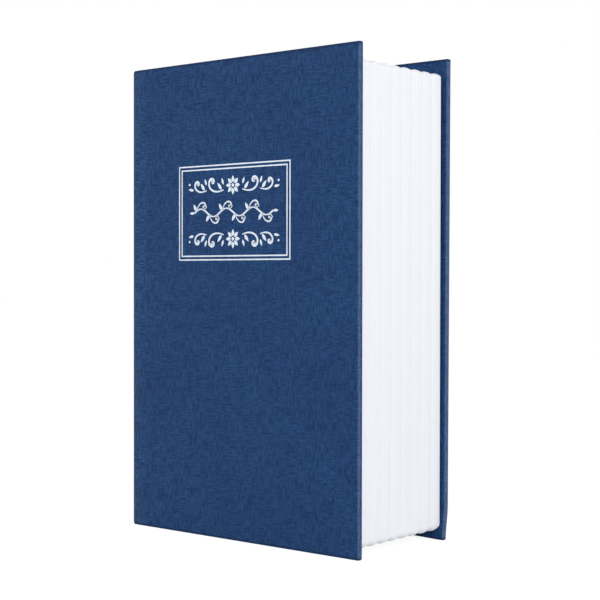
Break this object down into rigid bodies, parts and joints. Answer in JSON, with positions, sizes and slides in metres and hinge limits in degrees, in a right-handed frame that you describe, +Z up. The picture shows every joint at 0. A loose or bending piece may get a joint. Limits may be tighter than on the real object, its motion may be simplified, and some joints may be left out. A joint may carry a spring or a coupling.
{
  "type": "book diversion safe",
  "caption": "Safe disguised as a hardback book: cloth case round a moulded page block, with a lidded steel box and a cam lock inside.",
  "frame": {"origin": "middle of the book's outline, on the surface that it stands on", "axes": "+X from the spine to the fore edge, -Y out of the front cover, +Z up from tail to head"},
  "size_m": [0.115, 0.055, 0.18],
  "materials": {
    "book_cloth": "embossed blue book cloth, matt",
    "grey_board": "raw grey board",
    "end_paper": "uncoated off-white paper",
    "white_plastic": "moulded white plastic",
    "painted_steel": "black powder coat, fine grain",
    "zinc_steel": "zinc plated",
    "chromed_zinc": "bright nickel chrome",
    "wafer_brass": "stamped brass"
  },
  "bodies": {
    "root": {"back_cloth": "book_cloth", "back_board": "grey_board", "back_endpaper": "end_paper", "rear_joint_cloth": "book_cloth", "page_block": "white_plastic", "steel_box": "painted_steel", "box_screw_1": "zinc_steel", "box_screw_2": "zinc_steel", "box_screw_3": "zinc_steel", "box_screw_4": "zinc_steel", "box_hinge_leaf": "zinc_steel", "hinge_pin": "zinc_steel", "box_rivet_1": "zinc_steel", "box_rivet_2": "zinc_steel", "box_rivet_3": "zinc_steel"},
    "spine": {"spine_cloth": "book_cloth", "spine_board": "grey_board", "spine_lining": "end_paper", "front_joint_cloth": "book_cloth"},
    "front_cover": {"front_cloth": "book_cloth", "front_board": "grey_board", "front_endpaper": "end_paper"},
    "lid": {"lid": "painted_steel", "lid_hinge_leaf": "zinc_steel", "lid_rivet_1": "zinc_steel", "lid_rivet_2": "zinc_steel", "lid_rivet_3": "zinc_steel", "lock_body": "chromed_zinc", "lock_washer": "zinc_steel", "lock_nut": "zinc_steel"},
    "key_plug": {"lock_plug": "chromed_zinc", "lock_cam": "zinc_steel", "cam_screw": "zinc_steel", "wafer_1": "wafer_brass", "wafer_2": "wafer_brass", "wafer_3": "wafer_brass", "wafer_4": "wafer_brass"}
  },
  "joints": [
    {"name": "spine_swing", "type": "hinge", "parent": "root", "child": "spine", "pos_m": [-0.0565, 0.0265, 0], "axis": [0, 0, -1], "range_deg": [0, 90], "deforming": ["rear_joint_cloth"]},
    {"name": "cover_swing", "type": "hinge", "parent": "spine", "child": "front_cover", "pos_m": [-0.0565, -0.0265, 0], "axis": [0, 0, -1], "range_deg": [0, 180], "deforming": ["front_joint_cloth"]},
    {"name": "lid_swing", "type": "hinge", "parent": "root", "child": "lid", "pos_m": [-0.0448, -0.0225, 0], "axis": [0, 0, -1], "range_deg": [0, 105]},
    {"name": "key_turn", "type": "hinge", "parent": "lid", "child": "key_plug", "pos_m": [0.0342, -0.0226, 0.0888], "axis": [0, -1, 0], "range_deg": [0, 90]}
  ],
  "couplings": [
    {"joint": "lid_swing", "follows": "spine_swing", "ratio": 1.1666}
  ]
}
